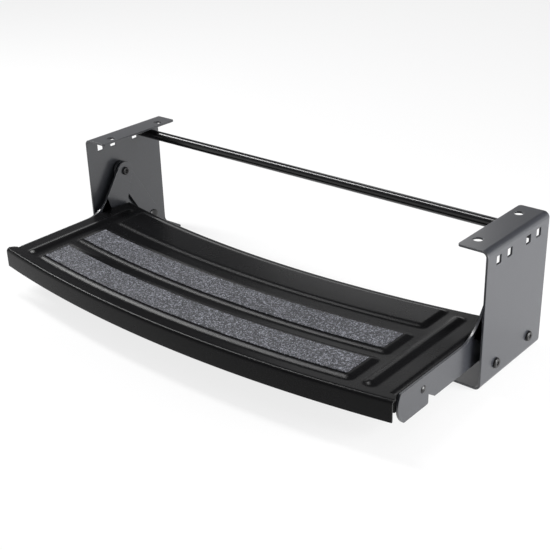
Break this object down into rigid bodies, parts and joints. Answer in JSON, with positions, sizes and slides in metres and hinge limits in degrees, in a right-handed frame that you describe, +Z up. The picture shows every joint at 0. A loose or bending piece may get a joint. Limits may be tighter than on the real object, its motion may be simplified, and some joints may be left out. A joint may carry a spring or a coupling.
{
  "type": "caravan pull-out step",
  "caption": "Single pull-out entry step: pressed black tread with curved front and anti-slip strips, swinging on links between channel side plates bolted under a caravan floor.",
  "frame": {"origin": "centre of the four floor bolt holes, on the top faces of the side plates' flanges", "axes": "+X to the right of someone facing the step, +Y back under the caravan, +Z up"},
  "size_m": [0.606, 0.3079, 0.16],
  "materials": {
    "frame_paint": "semi-gloss black powder coat",
    "tread_paint": "gloss black powder coat",
    "black_rivet": "black coated steel",
    "grit": "mineral anti-slip grit"
  },
  "bodies": {
    "frame": {"left_side_plate": "frame_paint", "right_side_plate": "frame_paint", "cross_rod": "frame_paint", "left_front_pin": "black_rivet", "right_front_pin": "black_rivet", "left_rear_pivot": "black_rivet", "right_rear_pivot": "black_rivet", "left_rear_spacer": "black_rivet", "right_rear_spacer": "black_rivet"},
    "left_link": {"left_link": "frame_paint"},
    "right_link": {"right_link": "frame_paint"},
    "tread": {"tread_panel": "tread_paint", "front_grit_strip": "grit", "middle_grit_strip": "grit", "left_side_arm": "tread_paint", "right_side_arm": "tread_paint", "left_arm_rivets": "black_rivet", "right_arm_rivets": "black_rivet", "left_upper_pivot": "black_rivet", "right_upper_pivot": "black_rivet", "left_upper_washer": "black_rivet", "right_upper_washer": "black_rivet"}
  },
  "joints": [
    {"name": "left_link_swing", "type": "hinge", "parent": "frame", "child": "left_link", "pos_m": [-0.2928, 0.037, -0.1385], "axis": [-1, 0, 0], "range_deg": [0, 67.38]},
    {"name": "right_link_swing", "type": "hinge", "parent": "frame", "child": "right_link", "pos_m": [0.2928, 0.037, -0.1385], "axis": [-1, 0, 0], "range_deg": [0, 67.38]},
    {"name": "tread_pivot", "type": "hinge", "parent": "left_link", "child": "tread", "pos_m": [-0.2928, -0.014, -0.0555], "axis": [-1, 0, 0], "range_deg": [-67.38, 0]}
  ],
  "couplings": [
    {"joint": "right_link_swing", "follows": "left_link_swing", "ratio": 1},
    {"joint": "tread_pivot", "follows": "left_link_swing", "ratio": -1}
  ]
}
